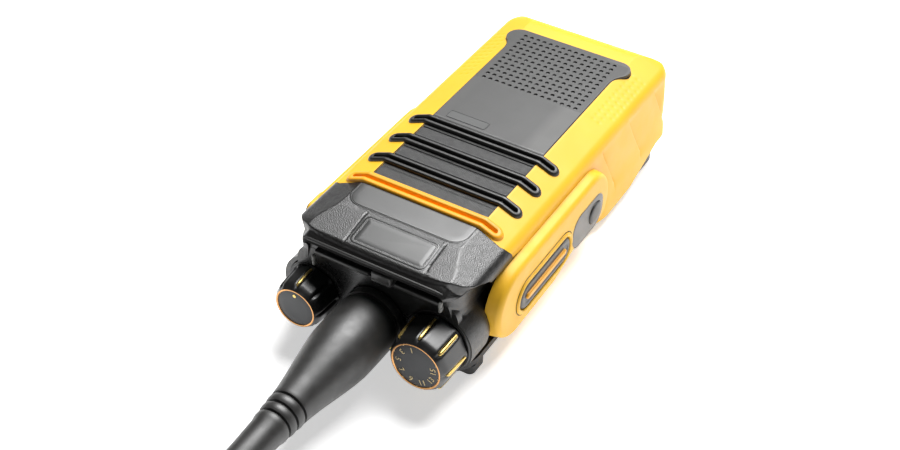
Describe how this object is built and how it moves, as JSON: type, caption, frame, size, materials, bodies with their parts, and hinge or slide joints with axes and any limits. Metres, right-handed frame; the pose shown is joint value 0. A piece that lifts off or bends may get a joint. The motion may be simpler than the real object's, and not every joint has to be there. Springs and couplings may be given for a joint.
{
  "type": "portable two-way radio",
  "caption": "Handheld two-way radio with a yellow housing, slotted front bars, two rotary knobs, a push-to-talk button, a screw-on antenna and a swing-off battery pack.",
  "frame": {"origin": "centre of the battery pack's flat back face, under the middle of the housing", "axes": "+Z out of the front face, -Y along the antenna, +X towards the push-to-talk side"},
  "size_m": [0.062, 0.2595, 0.0359],
  "materials": {
    "yellow_housing": "fine satin",
    "black_panel": "satin",
    "black_housing": "leather grain",
    "black_deck": "semi-gloss",
    "grey_plastic": "satin",
    "knob_black": "semi-gloss",
    "knob_cap": "satin",
    "copper_trim": "polished",
    "antenna_rubber": "matte",
    "key_rubber": "matte",
    "seal_rubber": "matte",
    "light_pipe": "frosted",
    "chassis_metal": "black powder coat",
    "brass": "machined",
    "steel": "zinc plated",
    "board": "solder mask",
    "tin_can": "tin plated",
    "black_plastic": "fine spark texture",
    "felt": "fine mesh",
    "cone_paper": "pressed paper",
    "battery_black": "fine spark texture",
    "cell_wrap": "shrink wrap",
    "gold_plate": "gold plated"
  },
  "bodies": {
    "radio_body": {"front_housing": "yellow_housing", "front_panel": "black_panel", "grille_bars": "black_panel", "model_tag": "grey_plastic", "top_housing": "black_housing", "brow_insert": "grey_plastic", "name_plate": "grey_plastic", "top_deck": "black_deck", "light_guide": "light_pipe", "rear_chassis": "chassis_metal", "main_seal": "seal_rubber", "strap_lug": "black_plastic", "clip_inserts": "brass", "chassis_screws": "steel", "ptt_bezel": "yellow_housing", "side_key_inlay": "grey_plastic", "side_switch_board": "board", "dome_switches": "tin_can", "jack_block": "black_plastic", "jack_cover_pin": "steel", "main_board": "board", "shield_cans": "tin_can", "board_screws": "steel", "speaker_felt": "felt", "speaker_frame": "steel", "speaker_cone": "cone_paper", "speaker_magnet": "steel", "microphone": "tin_can", "microphone_boot": "key_rubber", "volume_pot": "tin_can", "channel_switch": "tin_can", "bushing_nuts": "brass", "antenna_socket": "gold_plate", "contact_block": "black_plastic", "contact_springs": "gold_plate"},
    "volume_control": {"volume_knob": "knob_black", "volume_ring": "copper_trim", "volume_cap": "knob_cap", "volume_shaft": "steel"},
    "channel_control": {"channel_knob": "knob_black", "channel_ring": "copper_trim", "channel_cap": "knob_cap", "channel_shaft": "steel"},
    "push_to_talk": {"ptt_button": "grey_plastic", "ptt_accent": "yellow_housing"},
    "aux_key": {"side_key": "key_rubber"},
    "jack_door": {"jack_cover": "key_rubber"},
    "antenna": {"antenna_boot": "antenna_rubber", "antenna_ferrule": "brass", "antenna_radiator": "copper_trim"},
    "battery_pack": {"battery_shell": "battery_black", "battery_lid": "battery_black", "battery_cells": "cell_wrap", "battery_contacts": "gold_plate"},
    "latch": {"battery_latch": "black_plastic"}
  },
  "joints": [
    {"name": "volume_turn", "type": "hinge", "parent": "radio_body", "child": "volume_control", "pos_m": [-0.0186, -0.059, 0.0135], "axis": [0, 1, 0], "range_deg": [0, 290]},
    {"name": "channel_turn", "type": "hinge", "parent": "radio_body", "child": "channel_control", "pos_m": [0.0186, -0.059, 0.0135], "axis": [0, 1, 0], "range_deg": [0, 337.5]},
    {"name": "ptt_press", "type": "slide", "parent": "radio_body", "child": "push_to_talk", "axis": [-1, 0, 0], "range_m": [0, 0.001], "stiffness_N_per_m": 600},
    {"name": "aux_press", "type": "slide", "parent": "radio_body", "child": "aux_key", "axis": [-1, 0, 0], "range_m": [0, 0.0006], "stiffness_N_per_m": 600},
    {"name": "jack_cover_open", "type": "hinge", "parent": "radio_body", "child": "jack_door", "pos_m": [-0.0297, -0.0415, 0.01125], "axis": [0, -1, 0], "range_deg": [0, 95]},
    {"name": "antenna_unscrew", "type": "hinge", "parent": "radio_body", "child": "antenna", "pos_m": [0.0002, -0.059, 0.0135], "axis": [0, -1, 0], "range_deg": [0, 1800]},
    {"name": "battery_swing", "type": "hinge", "parent": "radio_body", "child": "battery_pack", "pos_m": [0, -0.0367, 0.001], "axis": [-1, 0, 0], "range_deg": [0, 25]},
    {"name": "latch_push", "type": "slide", "parent": "battery_pack", "child": "latch", "axis": [0, -1, 0], "range_m": [0, 0.002], "stiffness_N_per_m": 400}
  ]
}
